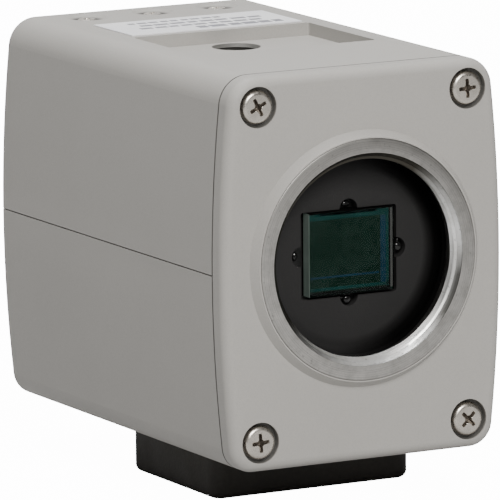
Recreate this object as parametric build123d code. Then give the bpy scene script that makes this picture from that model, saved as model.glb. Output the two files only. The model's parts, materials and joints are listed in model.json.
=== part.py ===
"""Cooled video-astronomy camera with a threaded lens mount.

Row frame, millimetres: the lens looks along -Y, +Z is up, +X is to the right when the lens mount faces the
viewer.  The origin is at the bottom centre of the whole part, on the surface that the tripod foot rests on.

How it comes apart: four screws release the front bezel, three on top and four behind release the two shells,
and two under the foot release the tripod foot.  Behind the lens mount sit the filter and the sensor, then the
cold finger, the thermoelectric cooler, the heat sink and the fan in one line along the lens axis.
"""

from build123d import *
import math
import os

# ---------------------------------------------------------------- driving dimensions
# body
BODY_WIDTH = 39.2          # widest, at the seam
SIDE_BULGE = 1.5           # how far each side swells between its corner and the seam
BODY_HEIGHT = 48.8
BODY_LENGTH = 61.0         # datum plane to the shells' rear edge
CORNER_R = 3.8
BOTTOM_CORNER_R = 3.2
WALL = 2.0
SEAM_GAP = 0.16
FACE_EDGE_R = 1.3
REAR_EDGE_R = 1.0
# foot
FOOT_HEIGHT = 6.0
FOOT_WIDTH = 28.0
FOOT_LENGTH = 22.4
FOOT_FRONT = 14.0
# lens mount, 1 inch with 32 threads per inch; every depth is counted from a datum plane just behind its seat
LENS_SEAT = -0.4
LENS_ABOVE_CENTRE = 0.85
THREAD_R = 12.3            # minor radius of the thread
MOUTH_R = 13.2
RING_R = 14.95
SKIRT_R = 15.95            # where the lip round the ring meets the bezel face
THREAD_END = 1.8
RELIEF_R = 12.9
FLANGE_FOCAL = 17.526      # lens seat to image plane
# bezel
BEZEL_FACE = 0.75
BEZEL_BACK = 3.5
SCREW_SPACING_X = 29.2
SCREW_SPACING_Z = 41.4
# case screws
HEAD_R = 2.1
HEAD_HEIGHT = 1.1
SHANK_R = 1.2
SCREW_BORE_R = 1.3
HEAD_POCKET_R = 2.55
HEAD_TOP = 0.7             # depth of the bezel screw heads
BOSS_R = 2.2
TOP_HEAD_R = 1.15
TOP_HEAD_SUNK = 0.3
DIMPLE_R = 2.7
# sensor stack
MASK_FACE = 4.7
WINDOW_WIDTH = 13.4
WINDOW_HEIGHT = 10.85
NOTCH_R = 1.25
FILTER_WIDTH = 11.9
FILTER_HEIGHT = 10.35
FILTER_FACE = 4.2
FILTER_THICK = 3.0
# top pocket and thread
POCKET_WIDTH = 25.0
POCKET_FRONT = 20.0
POCKET_REAR = 37.3
POCKET_DEPTH = 1.6
TOP_THREAD_AT = 33.4
TRIPOD_THREAD_R = 2.6      # minor radius of the quarter inch thread
TRIPOD_MOUTH_R = 2.95
# rear
PANEL_THICK = 1.6
PANEL_REAR = 60.0
CONNECTOR_TIP = 71.0
TOP_SCREW_AT = 56.0
TOP_SCREW_SPACING = 9.4
# label
LABEL_WIDTH = 24.2
LABEL_FRONT = 38.3
LABEL_REAR = 49.0
# sensor board, cooler and heat sink, one behind the other
SENSOR_BOARD_FRONT = 19.2
SENSOR_BOARD_BACK = 20.4
COLD_PLATE_AT = 24.8
HOT_PLATE_AT = 27.3
COOLER_PLATE_THICK = 0.7
COOLER_WIDTH = 15.0
PELLET_WIDTH = 1.1
PELLET_SPACING = 2.3
SINK_FRONT = 28.0
SINK_BASE_BACK = 31.0
FIN_TIP = 43.0
FIN_COUNT = 8
FIN_SPACING = 2.9
FIN_THICK = 0.9
PIN_COUNT = 8              # in each of the sensor's two rows
PIN_SPACING = 1.778
PIN_ROW = 5.0              # above and below the lens axis
# boards
MAIN_BOARD_Z = 16.0
MAIN_BOARD_THICK = 1.2
BUTTON_BOARD_FRONT = 52.2
BUTTON_BOARD_BACK = 53.2
SWITCH_STEM_AT = 54.0
# small screws inside
SMALL_SCREW = {"head_r": 1.5, "head_h": 0.9, "shank_r": 0.7}
STUD_BORE_R = 0.75
STUD_CLEAR_R = 0.85
# fan
FAN_SIZE = 25.0
FAN_THICK = 10.0
FAN_DUCT_R = 11.8
FAN_TIP_R = 11.3
FAN_HUB_R = 6.0
FAN_HOLE_SPACING = 20.0
FAN_BLADES = 7
# buttons
BUTTON_R = 1.8
BUTTON_TRAVEL = 0.5
CLEAR = 0.15

# ---------------------------------------------------------------- derived places
DATUM_Y = -(CONNECTOR_TIP + LENS_SEAT) / 2
BOTTOM_Z = FOOT_HEIGHT
TOP_Z = BOTTOM_Z + BODY_HEIGHT
CENTRE_Z = (BOTTOM_Z + TOP_Z) / 2
LENS_Z = CENTRE_Z + LENS_ABOVE_CENTRE
SEAM_Z = CENTRE_Z
FAN_Z = TOP_Z - WALL - 2.1 - FAN_SIZE / 2
FAN_REAR = PANEL_REAR - PANEL_THICK
FAN_FRONT = FAN_REAR - FAN_THICK
WINDOW_Z = LENS_Z + 0.17
FILTER_X = 0.15
FILTER_Z = LENS_Z + 0.25
IMAGE_PLANE = LENS_SEAT + FLANGE_FOCAL
SCREW_PLACES = [(sx * SCREW_SPACING_X / 2, CENTRE_Z + sz * SCREW_SPACING_Z / 2)
                for sx in (-1, 1) for sz in (-1, 1)]
FOOT_CENTRE = FOOT_FRONT + FOOT_LENGTH / 2
FOOT_SCREW_X = 9.0
BUTTON_Z = 23.2
BUTTON_XS = (-12.4, -7.6, -2.8)
LIGHT_AT = (13.2, 23.8)
VIDEO_AT = (7.6, 16.4)
POWER_AT = (-9.6, 15.4)
REMOTE_AT = (-2.0, 11.5)
PANEL_FRONT = PANEL_REAR - PANEL_THICK
RABBET = 1.2
FRAME_FRONT = BEZEL_BACK + 2.6
FRAME_BACK = BEZEL_BACK + 4.6
RING_SCREW_PLACES = [(16.1 * math.cos(math.radians(a)), LENS_Z + 16.1 * math.sin(math.radians(a)))
                     for a in (90, 210, 330)]
FRAME_SCREW_PLACES = [(sx * 11.5, LENS_Z + sz * 15.8) for sx in (-1, 1) for sz in (-1, 1)]
SINK_POST_PLACES = [(sx * 12.6, LENS_Z + sz * 11.6) for sx in (-1, 1) for sz in (-1, 1)]
FAN_SCREW_PLACES = [(sx * FAN_HOLE_SPACING / 2, FAN_Z + sz * FAN_HOLE_SPACING / 2)
                    for sx in (-1, 1) for sz in (-1, 1)]
BOARD_POST_PLACES = [(-13.2, 34.0), (13.2, 34.0), (-13.2, 46.8), (13.2, 46.8)]
BUTTON_POST_XS = (-15.1, -0.3)
SIDES = ((1, 0), (-1, 0), (0, 1), (0, -1))

BEYOND = 40                # further to each side than anything reaches

# ---------------------------------------------------------------- helpers
def depth(d):
    """Row Y of a place d millimetres behind the datum plane."""
    return DATUM_Y + d


def behind(d, x=0.0, z=LENS_Z):
    """A plane across the lens axis, d behind the datum plane, whose local y is row Z."""
    return Plane(origin=(x, depth(d), z), x_dir=(1, 0, 0), z_dir=(0, -1, 0))


def rod(r, d0, d1, x=0.0, z=LENS_Z):
    """A cylinder along Y from d0 to d1 behind the datum plane."""
    return extrude(behind(d0, x, z) * Circle(r), amount=d1 - d0, dir=(0, 1, 0))


def tube(r_out, r_in, d0, d1, x=0.0, z=LENS_Z):
    return rod(r_out, d0, d1, x, z) - rod(r_in, d0 - 1, d1 + 1, x, z)


def block(x0, x1, d0, d1, z0, z1):
    """A box given by its X range, its depth range and its Z range."""
    centre = ((x0 + x1) / 2, depth((d0 + d1) / 2), (z0 + z1) / 2)
    return Pos(*centre) * Box(x1 - x0, d1 - d0, z1 - z0)


def post(r, z0, z1, x, d):
    """A cylinder along Z from z0 to z1."""
    return Pos(x, depth(d), (z0 + z1) / 2) * Cylinder(r, z1 - z0)


def joined(shapes):
    """Separate solids held together in one node."""
    solids = [s for shape in shapes for s in shape.solids()]
    return Compound(children=solids)


def section(inset=0.0):
    """Cross-section of the body: flat top and bottom, sides swelling towards the seam, rounded corners."""
    half_w = BODY_WIDTH / 2 - inset
    half_h = BODY_HEIGHT / 2 - inset
    corner_x = half_w - SIDE_BULGE
    edges = [
        ThreePointArc((corner_x, -half_h), (half_w, 0), (corner_x, half_h)),
        Line((corner_x, half_h), (-corner_x, half_h)),
        ThreePointArc((-corner_x, half_h), (-half_w, 0), (-corner_x, -half_h)),
        Line((-corner_x, -half_h), (corner_x, -half_h)),
    ]
    face = make_face(Wire(edges))
    face = fillet(face.vertices().group_by(Axis.Y)[-1], max(CORNER_R - inset, 0.6))
    return fillet(face.vertices().group_by(Axis.Y)[0], max(BOTTOM_CORNER_R - inset, 0.6))


def prism(inset, d0, d1):
    """The body's cross-section, inset, from d0 to d1 behind the datum plane."""
    return extrude(behind(d0, 0, CENTRE_Z) * section(inset), amount=d1 - d0, dir=(0, 1, 0))


def cross_recess(width, deep):
    """Cross-shaped driver recess for a head whose top is at z = 0, stepping in to a point as it goes down."""
    arm = width * 0.24
    cross = Box(width, arm, deep) + Box(arm, width, deep) + Box(arm * 1.7, arm * 1.7, deep)
    return Pos(0, 0, -deep / 2) * cross


def screw(length, turn=0.0, head_r=HEAD_R, head_h=HEAD_HEIGHT, shank_r=SHANK_R):
    """Pan-head screw along Z with its head's top at z = 0 and its shank below."""
    head = Pos(0, 0, -head_h / 2) * Cylinder(head_r, head_h)
    head = fillet(head.edges().group_by(Axis.Z)[-1], head_h * 0.42)
    shank = Pos(0, 0, -head_h - length / 2) * Cylinder(shank_r, length)
    shank = chamfer(shank.edges().group_by(Axis.Z)[0], shank_r * 0.35)
    return Rot(0, 0, turn) * (head + shank - cross_recess(head_r * 1.02, head_h * 0.8))


def screw_from_front(x, d, z, length, turn=0.0, **sizes):
    """A screw driven from the front, its head's top at depth d."""
    return Pos(x, depth(d), z) * (Rot(90, 0, 0) * screw(length, turn, **sizes))


def screw_from_rear(x, d, z, length, turn=0.0, **sizes):
    return Pos(x, depth(d), z) * (Rot(-90, 0, 0) * screw(length, turn, **sizes))


def export(name, shape):
    export_step(shape, f"parts/{name}.step")


# ---------------------------------------------------------------- case
def front_bezel():
    """Cast front frame: raised lip round the lens mount, screw wells, a spigot behind and four posts."""
    plate = prism(0, BEZEL_FACE, BEZEL_BACK)
    plate = fillet(plate.faces().sort_by(Axis.Y)[0].edges(), FACE_EDGE_R)
    ring_hole = RING_R + 0.05
    lip_top = LENS_SEAT + 0.05
    skirt = [(ring_hole - 0.5, 2.0), (ring_hole - 0.5, lip_top), (ring_hole + 0.15, lip_top),
             (SKIRT_R, BEZEL_FACE), (SKIRT_R, 2.0)]
    skirt_face = make_face(Polyline(*[(r, depth(d), 0) for r, d in skirt], close=True))
    lip = Pos(0, 0, LENS_Z) * revolve(skirt_face, Axis.Y, 360)
    spigot = prism(WALL + CLEAR, BEZEL_BACK, BEZEL_BACK + 1.5) - prism(WALL + 1.6, 0, BEZEL_BACK + 2)
    spigot -= block(-BEYOND, BEYOND, 0, 10, LENS_Z - 9.5, LENS_Z + 9.5)
    spigot -= [rod(BOSS_R + 1, 0, 8, x, z) for x, z in SCREW_PLACES]
    body = plate + lip + spigot
    body += [rod(1.9, BEZEL_BACK - 0.5, FRAME_FRONT, x, z) for x, z in FRAME_SCREW_PLACES]
    body -= rod(ring_hole, -2, BEZEL_BACK + 3)
    for x, z in FRAME_SCREW_PLACES:
        body -= rod(0.75, 1.8, FRAME_FRONT + 1, x, z)
    for x, z in SCREW_PLACES:
        body -= rod(HEAD_POCKET_R, -1, HEAD_TOP + HEAD_HEIGHT, x, z)
        body -= rod(SCREW_BORE_R, 0, BEZEL_BACK + 1, x, z)
    return body


def hollow_case():
    """Both shells before they are parted: outer form, cavity, screw bosses, top pad and bottom pads."""
    front = BEZEL_BACK + SEAM_GAP
    outer = prism(0, front, BODY_LENGTH)
    outer = fillet(outer.faces().sort_by(Axis.Y)[-1].edges(), REAR_EDGE_R)
    case = outer - prism(WALL, front - 1, BODY_LENGTH + 1) - prism(RABBET, PANEL_FRONT, BODY_LENGTH + 1)
    inner_limit = prism(0.4, front, PANEL_FRONT - CLEAR)
    for x, z in SCREW_PLACES:
        corner = 1 if z > CENTRE_Z else -1
        side = 1 if x > 0 else -1
        for d0, d1 in ((front + 0.9 + CLEAR, 13.0), (50.0, PANEL_FRONT - CLEAR)):
            boss = rod(BOSS_R, d0, d1, x, z)
            boss += block(min(x, x + side * 5), max(x, x + side * 5), d0, d1, z - 1.6, z + 1.6)
            boss += block(x - 1.6, x + 1.6, d0, d1, min(z, z + corner * 5), max(z, z + corner * 5))
            case += boss & inner_limit
    pocket_floor = TOP_Z - POCKET_DEPTH
    pad = block(-POCKET_WIDTH / 2 - 2, POCKET_WIDTH / 2 + 2, POCKET_FRONT - 2, POCKET_REAR + 1.2,
                pocket_floor - 2.2, TOP_Z - 1)
    case += pad
    case += post(5.2, pocket_floor - 6.2, TOP_Z - 1.6, 0, TOP_THREAD_AT)
    for sx in (-1, 1):
        case += post(3.2, BOTTOM_Z + 0.5, BOTTOM_Z + 6.5, sx * FOOT_SCREW_X, FOOT_CENTRE)
    for x, z in SCREW_PLACES:
        case -= rod(SCREW_BORE_R, 2, 12.0, x, z)
        case -= rod(SCREW_BORE_R, 51.0, BODY_LENGTH + 2, x, z)
    return case


def upper_shell(case):
    """Upper half: pocket and threaded bush seat on top, three screw seats, and the groove for the tongue."""
    keep = block(-BEYOND, BEYOND, 0, 2 * BEYOND, SEAM_Z + SEAM_GAP / 2, TOP_Z + 5)
    shell = case & keep
    floor_z = TOP_Z - POCKET_DEPTH
    pocket = block(-POCKET_WIDTH / 2, POCKET_WIDTH / 2, POCKET_FRONT, POCKET_REAR, floor_z, TOP_Z + 2)
    pocket = fillet(pocket.edges().filter_by(Axis.Z), 0.35)
    shell -= pocket
    shell -= post(4.0, floor_z - 7, floor_z - 0.8, 0, TOP_THREAD_AT)
    shell -= post(TRIPOD_MOUTH_R + 0.15, floor_z - 2, floor_z + 1, 0, TOP_THREAD_AT)
    for i in (-1, 0, 1):
        x = i * TOP_SCREW_SPACING
        seat = TOP_Z - TOP_HEAD_SUNK - 0.6
        dimple = Pos(x, depth(TOP_SCREW_AT), TOP_Z - 0.3) * Cone(TOP_HEAD_R + 0.2, DIMPLE_R, 0.6)
        shell -= dimple
        shell -= post(TOP_HEAD_R + 0.2, seat, TOP_Z, x, TOP_SCREW_AT)
        shell -= post(0.8, TOP_Z - WALL - 1, TOP_Z, x, TOP_SCREW_AT)
    seam_zone = block(-BEYOND, BEYOND, 0, 2 * BEYOND, SEAM_Z - 1, SEAM_Z + 1.6)
    groove = prism(WALL - 0.9, 0, BODY_LENGTH - 2.5) & seam_zone
    return shell - groove


def lower_shell(case):
    """Lower half: tongue along the seam, air slots behind the foot, and seats for the foot screws."""
    keep = block(-BEYOND, BEYOND, 0, 2 * BEYOND, BOTTOM_Z - 2, SEAM_Z - SEAM_GAP / 2)
    shell = case & keep
    tongue = prism(WALL - 0.75, BEZEL_BACK + 2.2, BODY_LENGTH - 2.8) - prism(WALL, 0, BODY_LENGTH + 1)
    shell += tongue & block(-BEYOND, BEYOND, 0, 2 * BEYOND, SEAM_Z - 1.2, SEAM_Z + 1.3)
    for i in range(6):
        d = 42.0 + i * 2.4
        slot = block(-8.5, 8.5, d, d + 1.2, BOTTOM_Z - 1, BOTTOM_Z + WALL + 1)
        shell -= fillet(slot.edges().filter_by(Axis.Z), 0.55)
    for sx in (-1, 1):
        shell -= post(SCREW_BORE_R, BOTTOM_Z - 1, BOTTOM_Z + 5.5, sx * FOOT_SCREW_X, FOOT_CENTRE)
    return shell


def rear_panel():
    """Folded rear plate: fan grille, connector and button holes, and a flange under the top screws."""
    panel = prism(RABBET + CLEAR, PANEL_FRONT, PANEL_REAR)
    flange_top = TOP_Z - WALL - CLEAR
    panel += block(-11.9, 11.9, 53.4, PANEL_FRONT + 0.5, flange_top - 1.6, flange_top)
    for i in (-1, 0, 1):
        panel -= post(0.8, flange_top - 3, flange_top + 1, i * TOP_SCREW_SPACING, TOP_SCREW_AT)
    for x in BUTTON_POST_XS:
        panel += rod(0.8, 53.2, PANEL_FRONT + 0.5, x, BUTTON_Z - 2.3)
        panel += rod(0.5, 52.0, 53.5, x, BUTTON_Z - 2.3)
    for r_in, r_out in ((3.4, 5.2), (6.4, 8.2), (9.4, 11.2)):
        ring = tube(r_out, r_in, PANEL_FRONT - 1, PANEL_REAR + 1, 0, FAN_Z)
        for angle in (45, 135):
            web = Pos(0, depth(PANEL_REAR), FAN_Z) * (Rot(0, angle, 0) * Box(60, 10, 1.7))
            ring -= web
        panel -= ring
    for x, z in FAN_SCREW_PLACES:
        panel -= rod(1.05, 55, 62, x, z)
    for x, z in SCREW_PLACES:
        panel -= rod(SCREW_BORE_R, 55, 62, x, z)
    panel -= rod(4.85, 50, 62, *VIDEO_AT)
    panel -= rod(4.35, 50, 62, *POWER_AT)
    panel -= rod(2.45, 50, 62, *REMOTE_AT)
    panel -= rod(1.3, 50, 62, *LIGHT_AT)
    for x in BUTTON_XS:
        panel -= rod(BUTTON_R + CLEAR, 50, 62, x, BUTTON_Z)
    return panel


def tripod_foot():
    """Moulded block under the body, with a seat for the threaded bush and two sunk screws."""
    half_w = FOOT_WIDTH / 2
    foot = block(-half_w, half_w, FOOT_FRONT, FOOT_FRONT + FOOT_LENGTH, 0, FOOT_HEIGHT)
    foot = fillet(foot.edges().filter_by(Axis.Z), 1.8)
    foot = fillet(foot.faces().sort_by(Axis.Z)[0].edges(), 1.0)
    foot -= post(TRIPOD_MOUTH_R + 0.1, -1, 0.8, 0, FOOT_CENTRE)
    foot -= post(4.2, 0.8, FOOT_HEIGHT + 1, 0, FOOT_CENTRE)
    for sx in (-1, 1):
        foot -= post(HEAD_POCKET_R, -1, 2.4, sx * FOOT_SCREW_X, FOOT_CENTRE)
        foot -= post(SCREW_BORE_R, 0, FOOT_HEIGHT + 1, sx * FOOT_SCREW_X, FOOT_CENTRE)
    return foot


def thread_bush(z_mouth, z_shoulder, z_end, d, r_out):
    """Metal bush for a quarter inch tripod screw, smooth at the thread's minor radius."""
    low, high = sorted((z_mouth, z_end))
    bush = post(TRIPOD_MOUTH_R, low, high, 0, d)
    s_low, s_high = sorted((z_shoulder, z_end))
    bush += post(r_out, s_low, s_high, 0, d)
    bush -= post(TRIPOD_THREAD_R, low - 1, high + 1, 0, d)
    circles = bush.edges().filter_by(GeomType.CIRCLE)
    bore_edges = circles.filter_by(lambda e: abs(e.radius - TRIPOD_THREAD_R) < 0.01)
    mouth_edge = bore_edges.sort_by(Axis.Z)[-1 if z_mouth > z_end else 0]
    return chamfer(mouth_edge, 0.25)


# ---------------------------------------------------------------- lens mount and optics
def lens_mount_ring():
    """Turned ring: seat face, bevelled mouth, thread at its minor radius, relief and a clamping flange."""
    flange_r, flange_front, flange_back = 17.2, BEZEL_BACK + 0.1, BEZEL_BACK + 1.3
    profile = [
        (MOUTH_R, LENS_SEAT), (RING_R - 0.15, LENS_SEAT), (RING_R, LENS_SEAT + 0.15), (RING_R, flange_front),
        (flange_r, flange_front), (flange_r, flange_back), (RELIEF_R, flange_back), (RELIEF_R, THREAD_END),
        (THREAD_R, THREAD_END), (THREAD_R, LENS_SEAT + MOUTH_R - THREAD_R),
    ]
    points = [(r, depth(d), 0) for r, d in profile]
    face = make_face(Polyline(*points, close=True))
    ring = Pos(0, 0, LENS_Z) * revolve(face, Axis.Y, 360)
    for x, z in RING_SCREW_PLACES:
        ring -= rod(0.75, BEZEL_BACK - 1, BEZEL_BACK + 2, x, z)
    return ring


def window_cut(d0, d1):
    """The window's opening through a plate, with a half-round notch in the middle of each side."""
    outline = RectangleRounded(WINDOW_WIDTH, WINDOW_HEIGHT, 0.35)
    cut = extrude(behind(d0, 0, WINDOW_Z) * outline, amount=d1 - d0, dir=(0, 1, 0))
    for sx, sz in SIDES:
        cut += rod(NOTCH_R, d0, d1, sx * WINDOW_WIDTH / 2, WINDOW_Z + sz * WINDOW_HEIGHT / 2)
    return cut


def sensor_mask():
    """Black rubber dish behind the lens mount, with the filter's window in its floor."""
    outer_r = RELIEF_R - 0.08
    fillet_r = 1.0
    rim = MASK_FACE - fillet_r - 0.6
    back = MASK_FACE + 1.2
    wall_r = outer_r - 0.5
    floor_r = wall_r - fillet_r
    edges = [
        Line((0, depth(MASK_FACE)), (floor_r, depth(MASK_FACE))),
        RadiusArc((floor_r, depth(MASK_FACE)), (wall_r, depth(MASK_FACE - fillet_r)), fillet_r),
        Line((wall_r, depth(MASK_FACE - fillet_r)), (wall_r, depth(rim))),
        Line((wall_r, depth(rim)), (outer_r, depth(rim))),
        Line((outer_r, depth(rim)), (outer_r, depth(back))),
        Line((outer_r, depth(back)), (0, depth(back))),
        Line((0, depth(back)), (0, depth(MASK_FACE))),
    ]
    dish = Pos(0, 0, LENS_Z) * revolve(make_face(Wire(edges)), Axis.Y, 360)
    return dish - window_cut(MASK_FACE - 1, back + 1)


def filter_block(d0, d1, gap=0.0):
    """A block with the filter's outline, grown by gap on all four sides."""
    half_w, half_h = FILTER_WIDTH / 2 + gap, FILTER_HEIGHT / 2 + gap
    return block(FILTER_X - half_w, FILTER_X + half_w, d0, d1, FILTER_Z - half_h, FILTER_Z + half_h)


def filter_holder():
    """Square black block that carries the filter in front and closes the sensor chamber behind."""
    front = MASK_FACE + 1.2
    holder = block(-12, 12, front, 13.2, LENS_Z - 11, LENS_Z + 11)
    holder = fillet(holder.edges().filter_by(Axis.Y), 1.5)
    holder -= filter_block(front - 1, FILTER_FACE + FILTER_THICK, 0.1)
    holder -= block(-5.2, 5.2, front, 14, LENS_Z - 4.2, LENS_Z + 4.2)
    groove = block(-10.4, 10.4, 12.4, 14, LENS_Z - 9.4, LENS_Z + 9.4)
    groove -= block(-9.2, 9.2, 12, 15, LENS_Z - 8.2, LENS_Z + 8.2)
    return holder - groove


def filter_glass():
    glass = filter_block(FILTER_FACE, FILTER_FACE + FILTER_THICK)
    return chamfer(glass.edges().filter_by(Axis.Y), 0.12)


def filter_glue_dots():
    """Four beads of adhesive that hold the filter, one in each notch."""
    dots = []
    for sx, sz in SIDES:
        x = sx * (WINDOW_WIDTH / 2 + 0.52)
        z = WINDOW_Z + sz * (WINDOW_HEIGHT / 2 + 0.52)
        place = Pos(x if sx else 0, depth(MASK_FACE + 0.55), z if sz else WINDOW_Z)
        dots.append(place * Sphere(0.62))
    return joined(dots)


def chamber_gasket():
    ring = block(-10.25, 10.25, 12.45, 14.0, LENS_Z - 9.25, LENS_Z + 9.25)
    return ring - block(-9.35, 9.35, 12, 15, LENS_Z - 8.35, LENS_Z + 8.35)


def sensor_package():
    """Ceramic tray that carries the image sensor, open to the front."""
    body = block(-7.5, 7.5, IMAGE_PLANE - 0.9, IMAGE_PLANE + 1.6, LENS_Z - 6, LENS_Z + 6)
    return body - block(-5.0, 5.0, IMAGE_PLANE - 2, IMAGE_PLANE + 0.5, LENS_Z - 4.2, LENS_Z + 4.2)


def sensor_die():
    return block(-4.4, 4.4, IMAGE_PLANE, IMAGE_PLANE + 0.5, LENS_Z - 3.5, LENS_Z + 3.5)


def sensor_cover_glass():
    return block(-6.6, 6.6, IMAGE_PLANE - 1.7, IMAGE_PLANE - 0.9, LENS_Z - 5.2, LENS_Z + 5.2)


def pin_places():
    """X and Z of the sensor's pins, in two rows."""
    return [((i - (PIN_COUNT - 1) / 2) * PIN_SPACING, LENS_Z + sz * PIN_ROW)
            for sz in (-1, 1) for i in range(PIN_COUNT)]


def sensor_pins():
    return joined([block(x - 0.22, x + 0.22, IMAGE_PLANE + 1.6, 21.6, z - 0.15, z + 0.15)
                   for x, z in pin_places()])


def sensor_board():
    board = block(-14.5, 14.5, SENSOR_BOARD_FRONT, SENSOR_BOARD_BACK, LENS_Z - 13.5, LENS_Z + 13.5)
    board -= block(-4.6, 4.6, 18, 22, LENS_Z - 3.9, LENS_Z + 3.9)
    for x, z in pin_places():
        board -= block(x - 0.3, x + 0.3, 18, 22, z - 0.25, z + 0.25)
    for x, z in SINK_POST_PLACES:
        board -= rod(STUD_CLEAR_R, 18, 22, x, z)
    return board


def sensor_frame():
    """Cast plate behind the bezel that carries the lens mount, the filter holder and the sensor board."""
    plate = block(-13.9, 13.9, FRAME_FRONT, FRAME_BACK, LENS_Z - 17.0, LENS_Z + 17.0)
    for x, z in SINK_POST_PLACES:
        plate += block(x - 1.9, x + 1.9, FRAME_FRONT, SENSOR_BOARD_FRONT, z - 1.9, z + 1.9)
    plate -= block(-12.1, 12.1, 0, 14, LENS_Z - 11.1, LENS_Z + 11.1)
    for x, z in RING_SCREW_PLACES:
        plate += rod(1.9, BEZEL_BACK + 1.3, FRAME_BACK, x, z)
        plate -= rod(0.75, 0, 20, x, z)
    for x, z in FRAME_SCREW_PLACES:
        plate -= rod(0.85, 0, 12, x, z)
    for x, z in SINK_POST_PLACES:
        plate -= rod(0.75, 14, 22, x, z)
    return plate


def mount_screws():
    """Three small screws that hold the frame to the lens mount ring."""
    return joined([screw_from_rear(x, FRAME_BACK + 0.9, z, 4.2, **SMALL_SCREW)
                   for x, z in RING_SCREW_PLACES])


def frame_screws():
    """Four small screws that hold the frame to the bezel's posts."""
    return joined([screw_from_rear(x, FRAME_BACK + 0.9, z, 4.6, **SMALL_SCREW)
                   for x, z in FRAME_SCREW_PLACES])


# ---------------------------------------------------------------- cooling
def cold_finger():
    """Aluminium block through the sensor board, from the sensor's back to the cooler."""
    finger = block(-4.3, 4.3, IMAGE_PLANE + 1.65, 24.0, LENS_Z - 3.6, LENS_Z + 3.6)
    return finger + block(-7.2, 7.2, COLD_PLATE_AT - 2.4, COLD_PLATE_AT, LENS_Z - 7.2, LENS_Z + 7.2)


def cooler_plate(d):
    half = COOLER_WIDTH / 2
    return block(-half, half, d, d + COOLER_PLATE_THICK, LENS_Z - half, LENS_Z + half)


def cooler_pellets():
    """Thirty-six blocks of semiconductor between the two plates."""
    half = PELLET_WIDTH / 2
    steps = [(i - 2.5) * PELLET_SPACING for i in range(6)]
    return joined([block(x - half, x + half, COLD_PLATE_AT + COOLER_PLATE_THICK, HOT_PLATE_AT,
                         LENS_Z + up - half, LENS_Z + up + half) for x in steps for up in steps])


def heat_sink():
    """Finned block behind the cooler; its fins run up and down in the air stream."""
    low, high = LENS_Z - 13.4, LENS_Z + 13.4
    sink = block(-14.6, 14.6, SINK_FRONT, SINK_BASE_BACK, low, high)
    for i in range(FIN_COUNT):
        x = (i - (FIN_COUNT - 1) / 2) * FIN_SPACING
        sink += block(x - FIN_THICK / 2, x + FIN_THICK / 2, SINK_BASE_BACK - 0.5, FIN_TIP, low, high)
    for x, z in SINK_POST_PLACES:
        sink -= rod(STUD_CLEAR_R, SINK_FRONT - 1, SINK_BASE_BACK + 1, x, z)
    return sink


def sink_posts():
    """Four spacers with a stud in front, which clamp the sensor board and carry the heat sink."""
    posts = []
    for x, z in SINK_POST_PLACES:
        spacer = rod(1.6, SENSOR_BOARD_BACK, SINK_FRONT, x, z)
        stud = rod(0.7, SENSOR_BOARD_BACK - 4.0, SENSOR_BOARD_BACK, x, z)
        posts.append(spacer + stud - rod(STUD_BORE_R, SINK_FRONT - 3.5, SINK_FRONT + 1, x, z))
    return joined(posts)


def sink_screws():
    return joined([screw_from_rear(x, SINK_BASE_BACK + 0.9, z, 5.6, **SMALL_SCREW)
                   for x, z in SINK_POST_PLACES])


def fan_frame():
    """Square fan housing with a round duct, a motor seat on three struts and four corner holes."""
    half = FAN_SIZE / 2
    frame = block(-half, half, FAN_FRONT, FAN_REAR, FAN_Z - half, FAN_Z + half)
    frame = fillet(frame.edges().filter_by(Axis.Y), 1.8)
    frame -= rod(FAN_DUCT_R, FAN_FRONT - 1, FAN_REAR + 1, 0, FAN_Z)
    for angle in (90, 210, 330):
        strut = Rot(0, angle, 0) * (Pos(8.5, 0, 0) * Box(8.0, 1.5, 1.6))
        frame += Pos(0, depth(FAN_FRONT + 0.75), FAN_Z) * strut
    frame += rod(5.4, FAN_FRONT, FAN_FRONT + 1.5, 0, FAN_Z)
    frame += tube(1.9, 0.9, FAN_FRONT + 1.5, FAN_FRONT + 7.0, 0, FAN_Z)
    frame -= rod(1.3, FAN_FRONT + 1.2, FAN_FRONT + 8, 0, FAN_Z)
    for x, z in FAN_SCREW_PLACES:
        frame -= rod(1.0, FAN_FRONT - 1, FAN_REAR + 1, x, z)
    return frame


def fan_bearing():
    return tube(1.28, 0.8, FAN_FRONT + 1.25, FAN_FRONT + 6.9, 0, FAN_Z)


def fan_motor_coil():
    """Stator windings round the bearing seat."""
    return tube(4.4, 1.95, FAN_FRONT + 1.8, FAN_FRONT + 6.2, 0, FAN_Z)


def fan_rotor():
    """Cup-shaped hub that turns round the stator, with seven pitched blades."""
    hub = rod(FAN_HUB_R, FAN_FRONT + 2.0, FAN_REAR - 0.7, 0, FAN_Z)
    hub = fillet(hub.faces().sort_by(Axis.Y)[-1].edges(), 0.7)
    hub -= rod(FAN_HUB_R - 1.2, FAN_FRONT + 1, FAN_FRONT + 7.3, 0, FAN_Z)
    sweep_zone = tube(FAN_TIP_R, FAN_HUB_R - 0.3, FAN_FRONT + 2.1, FAN_REAR - 0.9, 0, FAN_Z)
    pitched = Rot(38, 0, 0) * (Pos(8.6, 0, 0) * Box(7.0, 12.0, 0.7))
    blade = Pos(0, depth(FAN_REAR - FAN_THICK / 2 + 0.6), FAN_Z) * pitched & sweep_zone
    rotor = hub
    turn = Axis((0, 0, FAN_Z), (0, 1, 0))
    for i in range(FAN_BLADES):
        rotor += blade.rotate(turn, i * 360 / FAN_BLADES)
    return rotor


def fan_shaft():
    return rod(0.75, FAN_FRONT + 1.6, FAN_FRONT + 7.3, 0, FAN_Z)


def fan_screws():
    sizes = {"head_r": 1.7, "head_h": 0.9, "shank_r": 0.95}
    return joined([screw_from_rear(x, PANEL_REAR + 0.9, z, 7.0, 20 + 30 * i, **sizes)
                   for i, (x, z) in enumerate(FAN_SCREW_PLACES)])


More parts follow.
